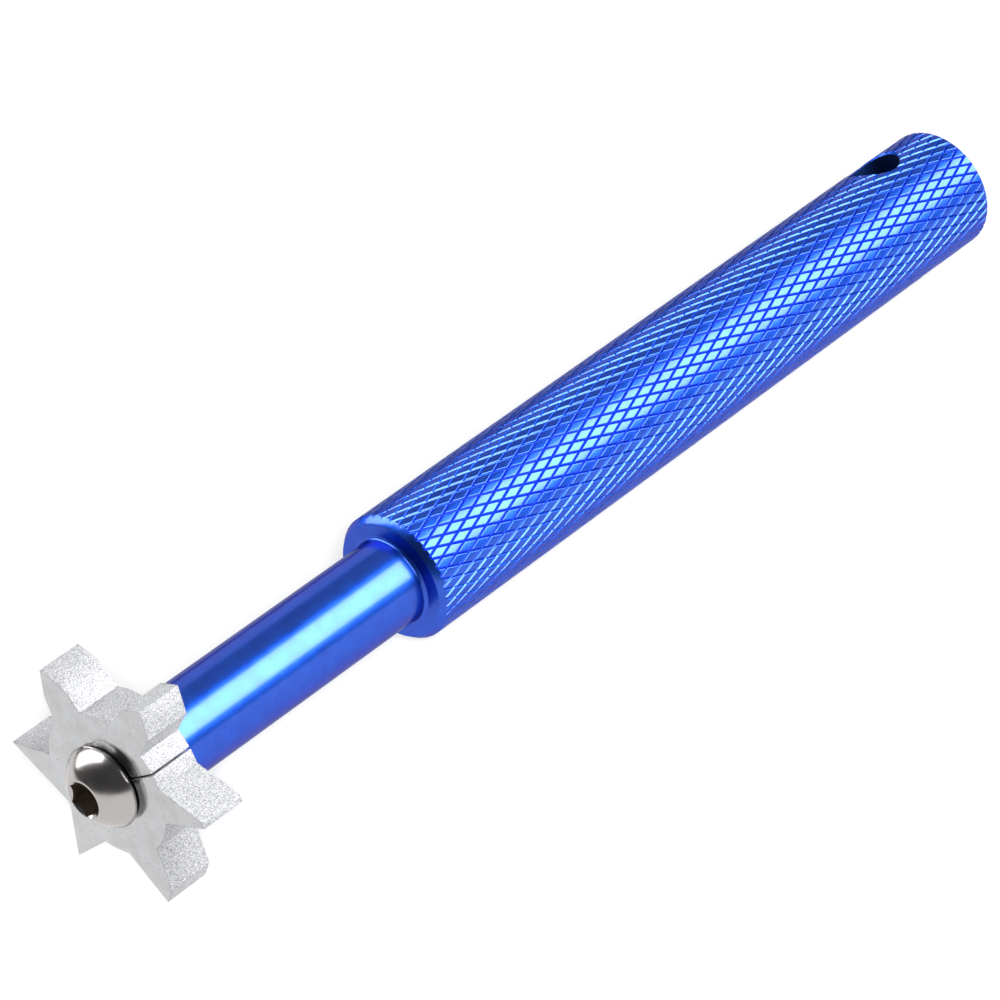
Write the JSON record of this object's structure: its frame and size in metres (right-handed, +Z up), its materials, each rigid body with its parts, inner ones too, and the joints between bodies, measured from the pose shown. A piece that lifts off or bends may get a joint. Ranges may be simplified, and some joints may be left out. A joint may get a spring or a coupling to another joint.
{
  "type": "multi-tip hand scraper",
  "caption": "Knurled round aluminium handle with a slim neck, and a star-shaped steel scraping cutter clamped on its end by a button-head screw.",
  "frame": {"origin": "middle of the bounding box at its base, on the surface that the tool lies on", "axes": "+X along the tool's axis from the screw's head to the rear of the grip, +Z up, with the tool lying on two teeth and its axis level"},
  "size_m": [0.1594, 0.0301, 0.0262],
  "materials": {
    "anodised_blue": "satin blue anodised, diamond knurled on the grip",
    "ground_steel": "ground faces, wire-cut edges",
    "polished_stainless": "polished"
  },
  "bodies": {
    "handle": {"handle": "anodised_blue"},
    "cutter": {"cutter": "ground_steel"},
    "screw": {"screw": "polished_stainless"}
  },
  "joints": [
    {"name": "cutter_turn", "type": "hinge", "parent": "handle", "child": "cutter", "pos_m": [-0.07007, 0, 0.0132], "axis": [-1, 0, 0], "range_deg": [0, 3420]},
    {"name": "screw_travel", "type": "slide", "parent": "cutter", "child": "screw", "axis": [-1, 0, 0], "range_m": [0, 0.0095]}
  ],
  "couplings": [
    {"joint": "screw_travel", "follows": "cutter_turn", "m_per_rad": 0.00015915}
  ]
}
